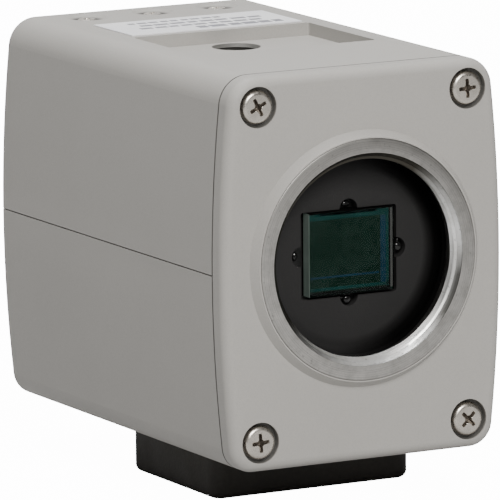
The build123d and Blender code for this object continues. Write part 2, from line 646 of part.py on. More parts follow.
# ---------------------------------------------------------------- electronics
def main_board():
    board = block(-15.0, 15.0, 22.0, 49.0, MAIN_BOARD_Z, MAIN_BOARD_Z + MAIN_BOARD_THICK)
    for x, d in BOARD_POST_PLACES:
        board -= post(STUD_CLEAR_R, MAIN_BOARD_Z - 1, MAIN_BOARD_Z + 2, x, d)
    return board


def board_posts():
    return joined([post(1.9, BOTTOM_Z + WALL, MAIN_BOARD_Z, x, d)
                   - post(STUD_BORE_R, MAIN_BOARD_Z - 4, MAIN_BOARD_Z + 1, x, d)
                   for x, d in BOARD_POST_PLACES])


def board_screws():
    return joined([Pos(x, depth(d), MAIN_BOARD_Z + MAIN_BOARD_THICK + 0.9) * screw(3.2, **SMALL_SCREW)
                   for x, d in BOARD_POST_PLACES])


def main_chips():
    """Signal processor, timing chip, memory and a row of small parts under the board."""
    chips = [
        block(-8, 0, 26, 34, MAIN_BOARD_Z - 1.4, MAIN_BOARD_Z),
        block(3, 9, 27, 33, MAIN_BOARD_Z - 1.2, MAIN_BOARD_Z),
        block(-6, 2, 37, 42, MAIN_BOARD_Z - 1.2, MAIN_BOARD_Z),
    ]
    chips += [block(5 + i * 1.6, 6 + i * 1.6, 38, 40, MAIN_BOARD_Z - 0.7, MAIN_BOARD_Z) for i in range(4)]
    return joined(chips)


def power_parts():
    """Coil and two capacitors that stand under the board's rear."""
    parts = [block(-10.5, -5.5, 43.2, 47.8, MAIN_BOARD_Z - 3.4, MAIN_BOARD_Z)]
    parts += [post(1.9, MAIN_BOARD_Z - 5.6, MAIN_BOARD_Z, x, 45.6) for x in (0.5, 5.5)]
    return joined(parts)


def sensor_ribbon():
    """Flat flexible lead from the sensor board down to the main board."""
    down = block(-5, 5, 21.0, 21.2, 17.4, LENS_Z - 8.2)
    back = block(-5, 5, 21.0, 23.2, 17.2, 17.4)
    tab = block(-5, 5, 20.4, 21.0, LENS_Z - 10.2, LENS_Z - 8.2)
    return down + back + tab


def button_board():
    board = block(-16.1, 0.7, BUTTON_BOARD_FRONT, BUTTON_BOARD_BACK, BUTTON_Z - 3.2, BUTTON_Z + 1.3)
    return board - [rod(0.6, 51, 54, x, BUTTON_Z - 2.3) for x in BUTTON_POST_XS]


def button_switches():
    switches = []
    for x in BUTTON_XS:
        back = BUTTON_BOARD_BACK + 2.6
        box = block(x - 1.7, x + 1.7, BUTTON_BOARD_BACK, back, BUTTON_Z - 1.7, BUTTON_Z + 1.3)
        switches.append(box - rod(0.85, SWITCH_STEM_AT, SWITCH_STEM_AT + 3, x, BUTTON_Z))
    return joined(switches)


def menu_button(x):
    """Push button: cap through the panel, retaining flange behind it and a stem into its switch."""
    cap = rod(BUTTON_R, PANEL_FRONT - 0.5, PANEL_REAR + 0.9, x, BUTTON_Z)
    cap = fillet(cap.faces().sort_by(Axis.Y)[-1].edges(), 0.35)
    flange = rod(BUTTON_R + 0.55, PANEL_FRONT - 0.9, PANEL_FRONT - 0.1, x, BUTTON_Z)
    stem = rod(0.7, SWITCH_STEM_AT + BUTTON_TRAVEL + 0.2, PANEL_FRONT - 0.5, x, BUTTON_Z)
    return cap + flange + stem


# ---------------------------------------------------------------- rear connectors
def video_connector():
    """Bayonet coaxial receptacle: barrel, two bayonet studs and a shoulder behind the panel."""
    x, z = VIDEO_AT
    barrel = tube(4.75, 4.05, PANEL_FRONT - 6, CONNECTOR_TIP, x, z)
    mouth = barrel.faces().sort_by(Axis.Y)[-1].edges()
    barrel = chamfer(mouth.sort_by(SortBy.LENGTH)[-1], 0.4)
    back = rod(4.75, PANEL_FRONT - 7, PANEL_FRONT - 3, x, z)
    hexagon = RegularPolygon(6.6, 6)
    shoulder = extrude(behind(PANEL_FRONT - 2.6, x, z) * hexagon, amount=2.4, dir=(0, 1, 0))
    shoulder -= rod(4.0, 50, 62, x, z)
    body = barrel + back + shoulder
    for side in (-1, 1):
        stud = Pos(x, depth(CONNECTOR_TIP - 4.2), z + side * 4.9) * Cylinder(0.95, 1.4)
        body += stud
    return body - rod(2.45, PANEL_FRONT - 8, PANEL_FRONT - 2, x, z)


def video_insulator():
    x, z = VIDEO_AT
    return tube(2.4, 0.72, PANEL_FRONT - 7, CONNECTOR_TIP - 5.2, x, z)


def video_contact():
    x, z = VIDEO_AT
    pin = rod(0.68, PANEL_FRONT - 9, CONNECTOR_TIP - 5.4, x, z)
    return pin - rod(0.4, CONNECTOR_TIP - 9, CONNECTOR_TIP, x, z)


def video_nut():
    x, z = VIDEO_AT
    hexagon = RegularPolygon(6.35, 6, major_radius=False)
    nut = extrude(behind(PANEL_REAR + 0.65, x, z) * hexagon, amount=2.0, dir=(0, 1, 0))
    crown = Pos(x, depth(PANEL_REAR + 1.65), z) * (Rot(90, 0, 0) * Cylinder(7.15, 2.0))
    crown = chamfer(crown.edges(), 0.35)
    return (nut & crown) - rod(4.8, 50, 80, x, z)


def video_washer():
    return tube(6.6, 4.8, PANEL_REAR + 0.02, PANEL_REAR + 0.6, *VIDEO_AT)


def power_jack():
    """Barrel socket for the supply lead."""
    x, z = POWER_AT
    body = rod(4.3, PANEL_FRONT - 8.5, PANEL_REAR + 0.5, x, z)
    flange = rod(5.2, PANEL_REAR + 0.02, PANEL_REAR + 1.5, x, z)
    flange = chamfer(flange.faces().sort_by(Axis.Y)[-1].edges(), 0.4)
    return body + flange - rod(3.0, PANEL_REAR - 8.5, PANEL_REAR + 3, x, z)


def power_pin():
    x, z = POWER_AT
    pin = rod(1.0, PANEL_REAR - 8.45, PANEL_REAR + 0.6, x, z)
    return fillet(pin.faces().sort_by(Axis.Y)[-1].edges(), 0.45)


def remote_jack():
    """Small socket for a wired remote control."""
    x, z = REMOTE_AT
    body = rod(2.4, PANEL_FRONT - 9.0, PANEL_REAR + 1.6, x, z)
    body += block(x - 2.6, x + 2.6, PANEL_FRONT - 10.4, PANEL_FRONT - 0.05, z - 3.3, z + 3.3)
    return body - rod(1.8, PANEL_REAR - 9.5, PANEL_REAR + 3, x, z)


def remote_nut():
    nut = tube(3.0, 2.43, PANEL_REAR + 0.02, PANEL_REAR + 1.2, *REMOTE_AT)
    notch = Pos(REMOTE_AT[0], depth(PANEL_REAR + 1.2), REMOTE_AT[1]) * Box(8, 0.9, 0.7)
    return nut - notch


def status_light():
    x, z = LIGHT_AT
    lens = rod(1.2, PANEL_FRONT - 1.5, PANEL_REAR + 0.5, x, z)
    lens = fillet(lens.faces().sort_by(Axis.Y)[-1].edges(), 0.5)
    return lens + rod(1.7, PANEL_FRONT - 2.4, PANEL_FRONT - 0.05, x, z)


# ---------------------------------------------------------------- labels and case fasteners
def rating_label():
    plate = block(-LABEL_WIDTH / 2, LABEL_WIDTH / 2, LABEL_FRONT, LABEL_REAR, TOP_Z + 0.01, TOP_Z + 0.16)
    return fillet(plate.edges().filter_by(Axis.Z), 0.4)


def bezel_screws():
    turns = {(-1, 1): 25, (1, 1): 0, (-1, -1): 0, (1, -1): 45}
    screws = []
    for (sx, sz), turn in turns.items():
        x, z = sx * SCREW_SPACING_X / 2, CENTRE_Z + sz * SCREW_SPACING_Z / 2
        screws.append(screw_from_front(x, HEAD_TOP, z, 8.5, turn))
    return joined(screws)


def rear_panel_screws():
    return joined([screw_from_rear(x, PANEL_REAR + HEAD_HEIGHT, z, 6.5, 30 + 25 * i)
                   for i, (x, z) in enumerate(SCREW_PLACES)])


def top_screws():
    sizes = {"head_r": TOP_HEAD_R, "head_h": 0.6, "shank_r": 0.75}
    return joined([Pos(i * TOP_SCREW_SPACING, depth(TOP_SCREW_AT), TOP_Z - TOP_HEAD_SUNK)
                   * screw(2.3, 45 + 12 * i, **sizes) for i in (-1, 0, 1)])


def foot_screws():
    return joined([Pos(sx * FOOT_SCREW_X, depth(FOOT_CENTRE), 2.4 - HEAD_HEIGHT)
                   * (Rot(180, 0, 0) * screw(8.0, 15 * sx)) for sx in (-1, 1)])


SIMPLE_NODES = (
    front_bezel, rear_panel, tripod_foot, lens_mount_ring, sensor_mask, filter_holder,
    filter_glass, filter_glue_dots, chamber_gasket, sensor_package, sensor_die,
    sensor_cover_glass, sensor_pins, sensor_board, sensor_frame, mount_screws, frame_screws,
    cold_finger, cooler_pellets, heat_sink, sink_posts, sink_screws, fan_frame, fan_bearing,
    fan_motor_coil, fan_rotor, fan_shaft, fan_screws, main_board, board_posts, board_screws,
    main_chips, power_parts, sensor_ribbon, button_board, button_switches, video_connector,
    video_insulator, video_contact, video_nut, video_washer, power_jack, power_pin,
    remote_jack, remote_nut, status_light, rating_label, bezel_screws, rear_panel_screws,
    top_screws, foot_screws,
)


def main():
    os.makedirs("parts", exist_ok=True)
    for make in SIMPLE_NODES:
        export(make.__name__, make())
    case = hollow_case()
    export("upper_shell", upper_shell(case))
    export("lower_shell", lower_shell(case))
    floor_z = TOP_Z - POCKET_DEPTH
    export("foot_thread_bush", thread_bush(0.05, 0.8, FOOT_HEIGHT - 0.1, FOOT_CENTRE, 4.15))
    export("top_thread_bush", thread_bush(floor_z - 0.05, floor_z - 0.85, floor_z - 6.2, TOP_THREAD_AT, 3.95))
    export("cooler_cold_plate", cooler_plate(COLD_PLATE_AT))
    export("cooler_hot_plate", cooler_plate(HOT_PLATE_AT))
    for name, x in zip(("menu_button_right", "menu_button_middle", "menu_button_left"), BUTTON_XS):
        export(name, menu_button(x))


main()
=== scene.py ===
import json
import math
import random
import bpy
import bmesh
from mathutils import Matrix, Vector


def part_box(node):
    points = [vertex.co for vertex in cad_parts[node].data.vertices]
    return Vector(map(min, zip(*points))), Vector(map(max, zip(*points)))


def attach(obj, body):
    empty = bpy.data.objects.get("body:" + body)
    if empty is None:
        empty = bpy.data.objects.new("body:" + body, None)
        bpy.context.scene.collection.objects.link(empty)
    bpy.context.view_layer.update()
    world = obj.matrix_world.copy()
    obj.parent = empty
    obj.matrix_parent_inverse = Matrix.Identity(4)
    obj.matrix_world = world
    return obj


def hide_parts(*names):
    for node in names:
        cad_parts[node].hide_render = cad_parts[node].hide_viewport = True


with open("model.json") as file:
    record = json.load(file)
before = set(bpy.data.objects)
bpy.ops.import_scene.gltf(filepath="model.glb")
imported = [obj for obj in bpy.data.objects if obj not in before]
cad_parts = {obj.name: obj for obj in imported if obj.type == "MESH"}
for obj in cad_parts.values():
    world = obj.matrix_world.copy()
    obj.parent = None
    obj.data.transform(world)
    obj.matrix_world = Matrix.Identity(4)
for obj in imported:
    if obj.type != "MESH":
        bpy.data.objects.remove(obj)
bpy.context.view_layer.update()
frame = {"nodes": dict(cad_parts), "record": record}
NODES = frame["nodes"]
MM = 0.001
rng = random.Random(414)


def span(node):
    """A node's lowest and highest corner in millimetres."""
    low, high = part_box(node)
    return low / MM, high / MM


# ---------------------------------------------------------------- places, in millimetres
RING_LOW, RING_HIGH = span("lens_mount_ring")
LENS_Z = (RING_LOW.z + RING_HIGH.z) / 2
SEAT_Y = RING_LOW.y
SEAT_TO_DATUM = 0.4
DATUM_Y = SEAT_Y + SEAT_TO_DATUM
PANEL_DEPTH = 60.0         # outer face of the rear panel, behind the datum
TOP_Z = span("upper_shell")[1].z
BOTTOM_Z = span("lower_shell")[0].z
CENTRE_Z = (TOP_Z + BOTTOM_Z) / 2
PANEL_Y = DATUM_Y + PANEL_DEPTH
JOINT_Y = span("upper_shell")[0].y - 0.08
JOINT_HALF = 0.14
CORNER_SCREW_X, CORNER_SCREW_Z = 14.6, 20.7
WELL_R = 2.6               # wells round the corner screws
TOP_SCREW_Y = (span("top_screws")[0].y + span("top_screws")[1].y) / 2
TOP_SCREW_X = 9.4
DIMPLE_FLOOR_R, DIMPLE_RIM_R = 1.75, 2.15
RING_OUTER_R = 14.95
RING_FLANGE_R = 17.2
RING_SHOULDER = 3.6        # where the ring widens into its flange, behind the datum
BORE_MOUTH_R = 13.2
LENS_PITCH = 0.79375       # 32 turns to the inch
TRIPOD_PITCH = 1.27        # 20 turns to the inch
FAN_HALF_SPACING = 10.0
# head radius, head height and shank radius of each kind of screw
CASE_SCREW = (2.1, 1.1, 1.2)
SMALL_TOP_SCREW = (1.25, 0.7, 0.75)
FAN_SCREW = (1.7, 0.9, 0.95)


# ---------------------------------------------------------------- materials
class Nodes:
    """A small helper that builds one material's node tree."""

    def __init__(self, name):
        self.mat = bpy.data.materials.new(name)
        self.mat.use_nodes = True
        self.tree = self.mat.node_tree
        self.bsdf = self.tree.nodes["Principled BSDF"]
        coords = self.tree.nodes.new("ShaderNodeTexCoord")
        self.coords = coords.outputs["Object"]

    def new(self, kind, **values):
        node = self.tree.nodes.new(kind)
        for key, value in values.items():
            setattr(node, key, value)
        return node

    def link(self, a, b):
        self.tree.links.new(a, b)

    def noise(self, scale, detail=4.0, rough=0.55, stretch=None):
        node = self.new("ShaderNodeTexNoise")
        node.inputs["Scale"].default_value = scale
        node.inputs["Detail"].default_value = detail
        node.inputs["Roughness"].default_value = rough
        source = self.coords
        if stretch:
            mapping = self.new("ShaderNodeMapping")
            mapping.inputs["Scale"].default_value = stretch
            self.link(self.coords, mapping.inputs["Vector"])
            source = mapping.outputs["Vector"]
        self.link(source, node.inputs["Vector"])
        return node.outputs["Fac"]

    def ramp(self, source, low, high, from_value, to_value):
        node = self.new("ShaderNodeMapRange")
        self.link(source, node.inputs["Value"])
        node.inputs["From Min"].default_value = low
        node.inputs["From Max"].default_value = high
        node.inputs["To Min"].default_value = from_value
        node.inputs["To Max"].default_value = to_value
        return node.outputs["Result"]

    def mix(self, factor, a, b):
        node = self.new("ShaderNodeMix", data_type="RGBA")
        self.link(factor, node.inputs["Factor"])
        for value, socket in ((a, node.inputs[6]), (b, node.inputs[7])):
            if isinstance(value, tuple):
                socket.default_value = (*value, 1.0)
            else:
                self.link(value, socket)
        return node.outputs[2]

    def maths(self, operation, *values):
        node = self.new("ShaderNodeMath", operation=operation)
        for value, socket in zip(values, node.inputs):
            if isinstance(value, float):
                socket.default_value = value
            else:
                self.link(value, socket)
        return node.outputs[0]

    def part_coords(self, origin):
        """The three coordinates of the part frame, counted from an origin in millimetres."""
        shifted = self.new("ShaderNodeVectorMath", operation="SUBTRACT")
        self.link(self.coords, shifted.inputs[0])
        shifted.inputs[1].default_value = tuple(c * MM for c in origin)
        separate = self.new("ShaderNodeSeparateXYZ")
        self.link(shifted.outputs[0], separate.inputs[0])
        return [separate.outputs[key] for key in "XYZ"]

    def off_axis(self, a, b):
        """Distance from the axis on which two coordinates are nought."""
        total = self.maths("ADD", self.maths("MULTIPLY", a, a), self.maths("MULTIPLY", b, b))
        return self.maths("SQRT", total)

    def bump(self, height, distance, strength=1.0, normal=None):
        node = self.new("ShaderNodeBump")
        node.inputs["Distance"].default_value = distance
        node.inputs["Strength"].default_value = strength
        self.link(height, node.inputs["Height"])
        if normal:
            self.link(normal, node.inputs["Normal"])
        return node.outputs["Normal"]


def finish_material(n, color, rough, metallic=0.0, normal=None, **extra):
    if isinstance(color, tuple):
        n.bsdf.inputs["Base Color"].default_value = (*color, 1.0)
    else:
        n.link(color, n.bsdf.inputs["Base Color"])
    if isinstance(rough, float):
        n.bsdf.inputs["Roughness"].default_value = rough
    else:
        n.link(rough, n.bsdf.inputs["Roughness"])
    n.bsdf.inputs["Metallic"].default_value = metallic
    if normal:
        n.link(normal, n.bsdf.inputs["Normal"])
    for key, value in extra.items():
        n.bsdf.inputs[key].default_value = value
    return n.mat


def shade(color, factor):
    return tuple(min(1.0, c * factor) for c in color)


def surface(name, color, rough, metallic=0.0, grain=3000.0, grain_depth=0.01, blotch=60.0,
            spread=0.06, rough_spread=0.08, stretch=None, **extra):
    """General finish: slow colour variation, fine grain in the relief and uneven roughness."""
    n = Nodes(name)
    slow = n.noise(blotch, 5.0, 0.6)
    fine = n.noise(grain, 3.0, 0.6, stretch)
    colour = n.mix(n.ramp(slow, 0.3, 0.7, 0.0, 1.0), shade(color, 1 - spread), shade(color, 1 + spread))
    speck = n.ramp(fine, 0.35, 0.65, 0.0, 0.35)
    colour = n.mix(speck, colour, shade(color, 1 - spread * 1.6))
    wear = n.noise(blotch * 4.0, 4.0)
    rough_out = n.ramp(wear, 0.3, 0.7, max(0.02, rough - rough_spread), rough + rough_spread)
    normal = n.bump(fine, grain_depth * MM)
    return finish_material(n, colour, rough_out, metallic, normal, **extra)


def paint(name, color):
    """Fine-textured enamel: pimpled relief, faint smears and paler high spots.  It is dark in the joint
    behind the bezel; painted shade darkens it in the wells of the corner screws and in the dimples of the top
    screws."""
    n = Nodes(name)
    pimple = n.new("ShaderNodeTexVoronoi")
    pimple.inputs["Scale"].default_value = 3600.0
    n.link(n.coords, pimple.inputs["Vector"])
    fine = n.noise(5200.0, 3.0, 0.7)
    slow = n.noise(45.0, 6.0, 0.62)
    smear = n.noise(120.0, 5.0, 0.6, (1.0, 1.0, 0.35))
    colour = n.mix(n.ramp(slow, 0.35, 0.65, 0.0, 1.0), shade(color, 0.975), shade(color, 1.02))
    colour = n.mix(n.ramp(fine, 0.4, 0.7, 0.0, 0.5), colour, shade(color, 0.86))
    colour = n.mix(n.ramp(smear, 0.62, 0.8, 0.0, 0.35), colour, shade(color, 0.88))
    edge = n.new("ShaderNodeNewGeometry")
    colour = n.mix(n.ramp(edge.outputs["Pointiness"], 0.53, 0.6, 0.0, 0.25), colour, shade(color, 1.12))
    _, along, _ = n.part_coords((0.0, JOINT_Y, 0.0))
    in_joint = n.ramp(n.maths("ABSOLUTE", along), JOINT_HALF * MM, JOINT_HALF * MM * 1.3, 0.72, 0.0)
    colour = n.mix(in_joint, colour, shade(color, 0.12))
    x, y, z = n.part_coords((0.0, DATUM_Y, CENTRE_Z))
    side = n.maths("ABSOLUTE", x)
    # painted shade: darker paint in the wells round the corner screws
    from_screw = n.off_axis(n.maths("SUBTRACT", side, CORNER_SCREW_X * MM),
                            n.maths("SUBTRACT", n.maths("ABSOLUTE", z), CORNER_SCREW_Z * MM))
    well_shade = n.maths("MULTIPLY", n.ramp(from_screw, WELL_R * MM, (WELL_R + 0.1) * MM, 0.75, 0.0),
                      n.ramp(y, 0.8 * MM, 1.1 * MM, 0.0, 1.0))
    colour = n.mix(well_shade, colour, shade(color, 0.15))
    # painted shade: darker paint in the dimples round the top screws
    behind = n.maths("SUBTRACT", y, (TOP_SCREW_Y - DATUM_Y) * MM)
    nearest = n.maths("MINIMUM", n.off_axis(x, behind),
                      n.off_axis(n.maths("SUBTRACT", side, TOP_SCREW_X * MM), behind))
    dimple_shade = n.maths("MULTIPLY", n.ramp(nearest, DIMPLE_FLOOR_R * MM, DIMPLE_RIM_R * MM, 0.92, 0.0),
                        n.ramp(z, 0.0, 5.0 * MM, 0.0, 1.0))
    colour = n.mix(dimple_shade, colour, shade(color, 0.15))
    rough = n.ramp(fine, 0.3, 0.7, 0.46, 0.62)
    normal = n.bump(pimple.outputs["Distance"], 0.012 * MM, 0.6)
    normal = n.bump(fine, 0.02 * MM, 0.6, normal)
    return finish_material(n, colour, rough, 0.0, normal)


def turned_metal(name, color, centre, rough=0.28, metallic=1.0, bore_shade=None):
    """Metal turned on a lathe: fine concentric marks about an axis along Y, small stains and, if asked,
    painted
    shade in a bore: darker from its top round to its left, with a painted dark reflection in one patch at its
    right."""
    n = Nodes(name)
    x, y, z = n.part_coords(centre)
    rings = n.new("ShaderNodeTexNoise", noise_dimensions="1D")
    rings.inputs["Scale"].default_value = 9000.0
    rings.inputs["Detail"].default_value = 3.0
    n.link(n.maths("ADD", n.off_axis(x, z), y), rings.inputs["W"])
    stain = n.noise(420.0, 6.0, 0.7)
    small = n.noise(1900.0, 4.0, 0.6)
    colour = n.mix(n.ramp(stain, 0.38, 0.68, 0.0, 1.0), shade(color, 1.12), shade(color, 0.78))
    colour = n.mix(n.ramp(small, 0.62, 0.72, 0.0, 0.6), colour, shade(color, 0.35))
    colour = n.mix(n.ramp(rings.outputs["Fac"], 0.52, 0.66, 0.0, 0.45), colour, shade(color, 0.45))
    if bore_shade:
        # painted shade: the bore darkens from its top round to its left
        low_right = n.maths("SUBTRACT", x, z)
        colour = n.mix(n.ramp(low_right, -4.0 * MM, 10.0 * MM, 1.0, 0.0), colour, bore_shade)
        # painted dark reflection: one dark patch at the bore's right, a little below the axis
        patch = n.maths("MULTIPLY", n.ramp(z, -9.5 * MM, -7.5 * MM, 0.0, 1.0),
                        n.ramp(z, -3.0 * MM, 0.5 * MM, 1.0, 0.0))
        patch = n.maths("MULTIPLY", patch, n.ramp(x, 4.0 * MM, 8.0 * MM, 0.0, 0.8))
        patch = n.maths("MULTIPLY", patch, n.ramp(y, -0.1 * MM, 0.3 * MM, 1.0, 0.15))
        colour = n.mix(patch, colour, bore_shade)
    rough_out = n.ramp(stain, 0.3, 0.7, rough - 0.06, rough + 0.14)
    normal = n.bump(rings.outputs["Fac"], 0.006 * MM, 0.5)
    normal = n.bump(small, 0.004 * MM, 0.4, normal)
    return finish_material(n, colour, rough_out, metallic, normal)


def mask_finish(name, color):
    """Matt black moulding whose outer zone falls into shade under the lens ring, most of all at its right."""
    n = Nodes(name)
    fine = n.noise(5200.0, 3.0, 0.6)
    slow = n.noise(220.0, 5.0, 0.6)
    x, _, z = n.part_coords((0.0, 0.0, LENS_Z))
    colour = n.mix(n.ramp(slow, 0.3, 0.7, 0.0, 1.0), shade(color, 0.9), shade(color, 1.1))
    colour = n.mix(n.ramp(fine, 0.35, 0.65, 0.0, 0.35), colour, shade(color, 0.8))
    radius = n.off_axis(x, z)
    rightward = n.ramp(x, -2.0 * MM, 6.0 * MM, 0.3, 1.0)
    in_shade = n.maths("MULTIPLY", n.ramp(radius, 10.4 * MM, 12.0 * MM, 0.0, 0.94), rightward)
    colour = n.mix(in_shade, colour, shade(color, 0.06))
    n.link(n.ramp(in_shade, 0.0, 0.5, 0.2, 0.0), n.bsdf.inputs["Specular IOR Level"])
    normal = n.bump(fine, 0.02 * MM)
    return finish_material(n, colour, n.ramp(slow, 0.3, 0.7, 0.62, 0.78), 0.0, normal)


def clear_glass(name, tint, rough=0.03):
    """Thin clear layer: transparent straight on, with a coated reflection and faint smears."""
    n = Nodes(name)
    out = n.tree.nodes["Material Output"]
    see = n.new("ShaderNodeBsdfTransparent")
    see.inputs["Color"].default_value = (*tint, 1.0)
    gloss = n.new("ShaderNodeBsdfGlossy")
    gloss.inputs["Color"].default_value = (0.8, 0.95, 0.92, 1.0)
    smear = n.noise(260.0, 5.0, 0.6)
    n.link(n.ramp(smear, 0.3, 0.7, rough, rough + 0.1), gloss.inputs["Roughness"])
    mix = n.new("ShaderNodeMixShader")
    n.link(n.ramp(smear, 0.3, 0.75, 0.002, 0.009), mix.inputs["Fac"])
    n.link(see.outputs[0], mix.inputs[1])
    n.link(gloss.outputs[0], mix.inputs[2])
    n.link(mix.outputs[0], out.inputs["Surface"])
    n.tree.nodes.remove(n.bsdf)
    return n.mat


CASE_GREY = (0.44, 0.425, 0.4)
MOUNT_CENTRE = (0.0, DATUM_Y, LENS_Z)
DULL = {"Specular IOR Level": 0.05}
FINISHES = {
    "foot_plastic": dict(color=(0.048, 0.044, 0.039), rough=0.62, grain=2600.0, grain_depth=0.03,
                         spread=0.25, **{"Specular IOR Level": 0.25}),
    "screw_steel": dict(color=(0.74, 0.69, 0.62), rough=0.3, metallic=1.0, grain=4200.0,
                        grain_depth=0.004, blotch=700.0, spread=0.14),
    "black_aluminium": dict(color=(0.008, 0.008, 0.008), rough=0.4, grain=5000.0, spread=0.2),
    "glue": dict(color=(0.006, 0.006, 0.006), rough=0.12, grain=900.0, grain_depth=0.02,
                 spread=0.2, rough_spread=0.05),
    "ceramic": dict(color=(0.72, 0.7, 0.64), rough=0.55, grain=4000.0, spread=0.05),
    "silicon": dict(color=(0.03, 0.045, 0.06), rough=0.15, metallic=0.6, grain=9000.0,
                    grain_depth=0.002, spread=0.25),
    "gold_pin": dict(color=(0.83, 0.58, 0.2), rough=0.25, metallic=1.0, grain=5000.0,
                     grain_depth=0.003, blotch=800.0),
    "circuit_board": dict(color=(0.012, 0.085, 0.035), rough=0.35, grain=2400.0, grain_depth=0.02,
                          blotch=900.0, spread=0.3),
    "chip_plastic": dict(color=(0.014, 0.014, 0.015), rough=0.5, grain=6000.0, spread=0.2),
    "aluminium": dict(color=(0.72, 0.72, 0.72), rough=0.32, metallic=1.0, grain=2500.0,
                      grain_depth=0.006, blotch=160.0, stretch=(0.1, 1.0, 0.1)),
    "cast_frame": dict(color=(0.42, 0.42, 0.41), rough=0.5, metallic=1.0, grain=1800.0,
                       grain_depth=0.03),
    "black_plastic": dict(color=(0.014, 0.014, 0.014), rough=0.42, grain_depth=0.012, spread=0.2),
    "copper": dict(color=(0.7, 0.26, 0.1), rough=0.3, metallic=1.0, grain=5000.0,
                   stretch=(0.15, 1.0, 0.15)),
    "film": dict(color=(0.42, 0.16, 0.03), rough=0.3, grain=1500.0, grain_depth=0.004),
    "brass_nickel": dict(color=(0.66, 0.64, 0.58), rough=0.3, metallic=1.0, grain_depth=0.0012,
                         blotch=160.0, spread=0.07, rough_spread=0.04),
    "bush_steel": dict(color=(0.13, 0.127, 0.118), rough=0.55, metallic=0.2, grain_depth=0.006,
                       blotch=600.0, spread=0.15),
    "white_plastic": dict(color=(0.75, 0.74, 0.7), rough=0.4, grain=3500.0, spread=0.04),
    "lens_plastic": dict(color=(0.06, 0.42, 0.1), rough=0.12, grain=900.0, grain_depth=0.004,
                         spread=0.15, rough_spread=0.05, **{"Transmission Weight": 0.3}),
    "label_foil": dict(color=(0.96, 0.96, 1.0), rough=0.45, grain=3800.0, grain_depth=0.004,
                       blotch=90.0, spread=0.05),
    "button_plastic": dict(color=(0.03, 0.03, 0.032), rough=0.45, grain=3600.0, grain_depth=0.02,
                           spread=0.15),
    "filter_core": dict(color=(0.0038, 0.0140, 0.0090), rough=0.3, grain=2400.0, grain_depth=0.0,
                        spread=0.16, blotch=260.0, **DULL),
    "filter_band": dict(color=(0.0055, 0.034, 0.031), rough=0.25, grain=2400.0, grain_depth=0.0,
                        spread=0.2, blotch=300.0, **DULL),
    "filter_blue": dict(color=(0.0075, 0.026, 0.046), rough=0.25, grain=2400.0, grain_depth=0.0,
                        spread=0.25, blotch=300.0, **DULL),
    "ground_glass": dict(color=(0.2, 0.26, 0.23), rough=0.6, grain=5000.0, spread=0.12,
                         blotch=500.0),
    "rosy_glass": dict(color=(0.06, 0.05, 0.05), rough=0.5, grain=5000.0, spread=0.12,
                       blotch=500.0),
    "ink": dict(color=(0.27, 0.27, 0.3), rough=0.55, grain=5200.0, grain_depth=0.003, spread=0.15),
    "recess_shadow": dict(color=(0.15, 0.125, 0.1), rough=0.42, metallic=0.6, grain=5200.0,
                          spread=0.3),
    # flat black standing in for shade: painted shade on the filter's sides and in strips on its front
    "dark_gap": dict(color=(0.004, 0.004, 0.004), rough=0.7, spread=0.2, **DULL),
}
MAT = {name: surface(name, **values) for name, values in FINISHES.items()}
MAT["case_paint"] = paint("case_paint", CASE_GREY)
MAT["panel_paint"] = paint("panel_paint", shade(CASE_GREY, 0.92))
MAT["mount_metal"] = turned_metal("mount_metal", (0.51, 0.495, 0.47), MOUNT_CENTRE, 0.34)
# the thread's bore gets painted shade and a painted dark reflection in this dark colour
MAT["thread_metal"] = turned_metal("thread_metal", (0.92, 0.91, 0.88), MOUNT_CENTRE, 0.33, 0.85,
                                   bore_shade=(0.06, 0.055, 0.045))
MAT["mask_rubber"] = mask_finish("mask_rubber", (0.024, 0.0235, 0.0235))
MAT["clear_glass"] = clear_glass("clear_glass", (0.93, 0.97, 0.96))
MAT["filter_glass"] = MAT["filter_core"]

for item in frame["record"]["subparts"]:
    slots = NODES[item["node"]].data.materials
    slots.clear()
    slots.append(MAT[item["material_slot"]])


# ---------------------------------------------------------------- mesh helpers
def add_piece(name, verts, faces, material, slot_name, replaced=(), smooth_deg=20.0):
    """A mesh piece from points in millimetres, riding on the camera's body."""
    mesh = bpy.data.meshes.new(name)
    mesh.from_pydata([tuple(c * MM for c in v) for v in verts], [], faces)
    work = bmesh.new()
    work.from_mesh(mesh)
    bmesh.ops.remove_doubles(work, verts=work.verts, dist=1e-7)
    bmesh.ops.recalc_face_normals(work, faces=work.faces)
    work.to_mesh(mesh)
    work.free()
    mesh.shade_smooth()
    mesh.set_sharp_from_angle(angle=math.radians(smooth_deg))
    mesh.materials.append(MAT[material])
    piece = bpy.data.objects.new(name, mesh)
    bpy.context.collection.objects.link(piece)
    if replaced:
        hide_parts(*replaced)
    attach(piece, "camera_body")
    return piece


def place_axis(centre, direction, turn=0.0):
    """Matrix that takes local +Z to a direction at a centre, all in millimetres."""
    quat = Vector((0, 0, 1)).rotation_difference(Vector(direction).normalized())
    spin = Matrix.Rotation(math.radians(turn), 4, "Z")
    return Matrix.Translation(Vector(centre)) @ quat.to_matrix().to_4x4() @ spin


def triangle_wave(t):
    """1 at whole numbers and 0 half-way between."""
    return abs((t % 1.0) * 2.0 - 1.0)


def lathe_data(rows, matrix, segments, closed=False):
    """Points and faces of a turned shape.  A row is (radius, height), or with threads
    (radius, height, thread depth, pitch)."""
    verts, faces = [], []
    for row in rows:
        radius, height = row[0], row[1]
        for k in range(segments):
            angle = 2 * math.pi * k / segments
            r = radius
            if len(row) > 2:
                r += row[2] * triangle_wave(height / row[3] - k / segments)
            verts.append(matrix @ Vector((r * math.cos(angle), r * math.sin(angle), height)))
    count = len(rows)
    for i in range(count if closed else count - 1):
        nxt = (i + 1) % count
        for k in range(segments):
            k2 = (k + 1) % segments
            faces.append((i * segments + k, i * segments + k2, nxt * segments + k2, nxt * segments + k))
    return verts, faces


def merge(groups):
    """Several (points, faces) lists as one."""
    verts, faces = [], []
    for group_verts, group_faces in groups:
        base = len(verts)
        verts.extend(group_verts)
        faces.extend([tuple(base + i for i in face) for face in group_faces])
    return verts, faces


